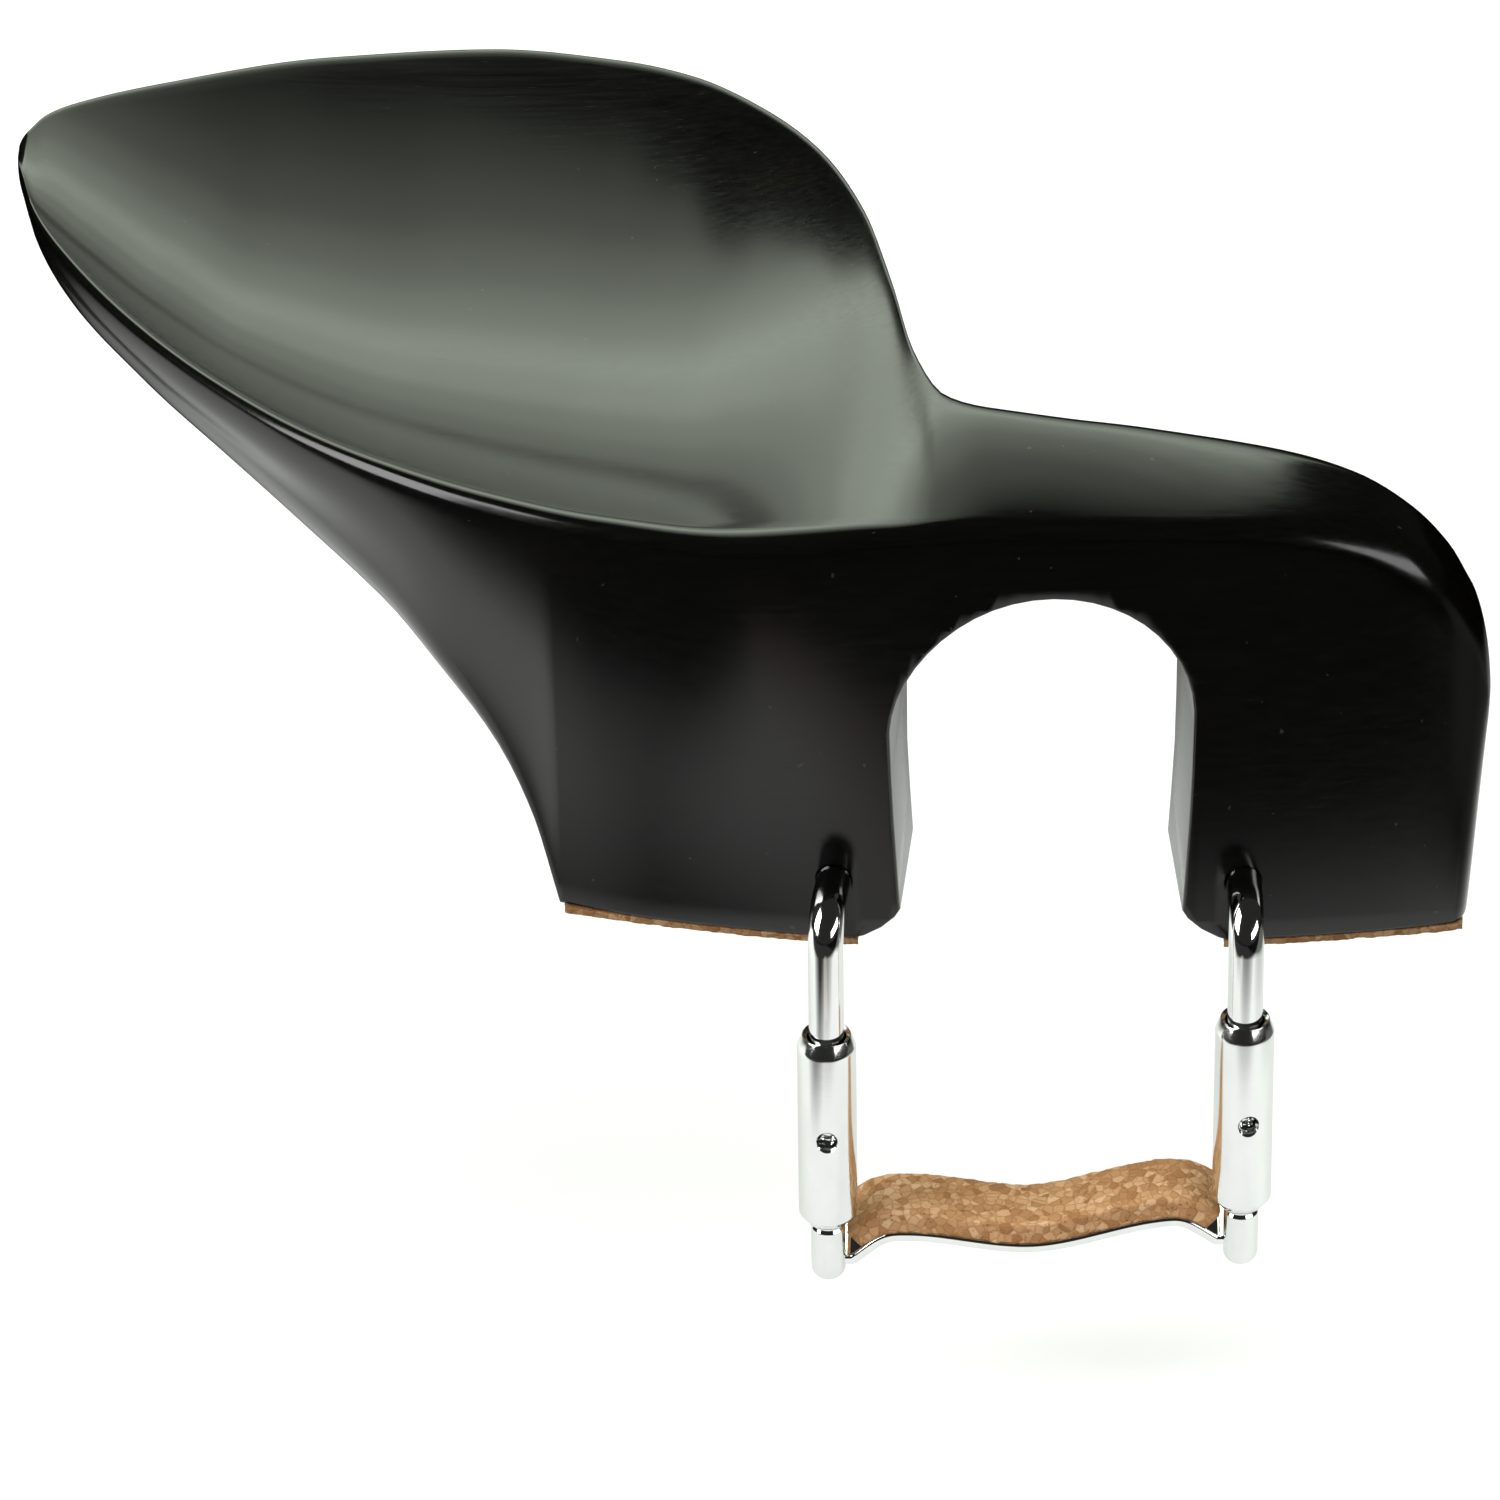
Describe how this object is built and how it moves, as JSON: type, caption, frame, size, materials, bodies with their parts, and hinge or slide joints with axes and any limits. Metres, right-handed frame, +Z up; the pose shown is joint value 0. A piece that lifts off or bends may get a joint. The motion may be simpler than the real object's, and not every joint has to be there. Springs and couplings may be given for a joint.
{
  "type": "violin chin rest",
  "caption": "Carved ebony violin chin rest arched over the tailpiece, with cork-lined feet and a two-post chrome turnbuckle clamp under it.",
  "frame": {"origin": "midway between the two clamp posts in X, on the foremost line of the wooden front face, level with the underside of the foot corks, where they rest on the violin's top", "axes": "+X along the violin's end from the cup towards the far foot, +Y from the player into the violin, +Z up off the violin's top"},
  "size_m": [0.1226, 0.0768, 0.0752],
  "materials": {
    "ebony": "satin polish",
    "cork": null,
    "chrome": "bright plated",
    "barrel_chrome": "bright plated over a turned surface"
  },
  "bodies": {
    "chin_rest": {"chin_plate": "ebony", "left_foot_cork": "cork", "right_foot_cork": "cork", "left_hook": "chrome", "right_hook": "chrome"},
    "bracket": {"bracket_plate": "chrome", "bracket_cork": "cork", "left_stud": "chrome", "right_stud": "chrome"},
    "left_turnbuckle": {"left_barrel": "barrel_chrome"},
    "right_turnbuckle": {"right_barrel": "barrel_chrome"}
  },
  "joints": [
    {"name": "bracket_slide", "type": "slide", "parent": "chin_rest", "child": "bracket", "axis": [0, 0, -1], "range_m": [0, 0.013]},
    {"name": "left_barrel_turn", "type": "hinge", "parent": "bracket", "child": "left_turnbuckle", "pos_m": [-0.017, -0.0045, -0.01425], "axis": [0, 0, 1], "range_deg": [0, 4680]},
    {"name": "right_barrel_turn", "type": "hinge", "parent": "bracket", "child": "right_turnbuckle", "pos_m": [0.017, -0.0045, -0.01255], "axis": [0, 0, 1], "range_deg": [0, 4680]}
  ],
  "couplings": [
    {"joint": "left_barrel_turn", "follows": "bracket_slide", "rad_per_m": 6283.2},
    {"joint": "right_barrel_turn", "follows": "bracket_slide", "rad_per_m": 6283.2}
  ]
}
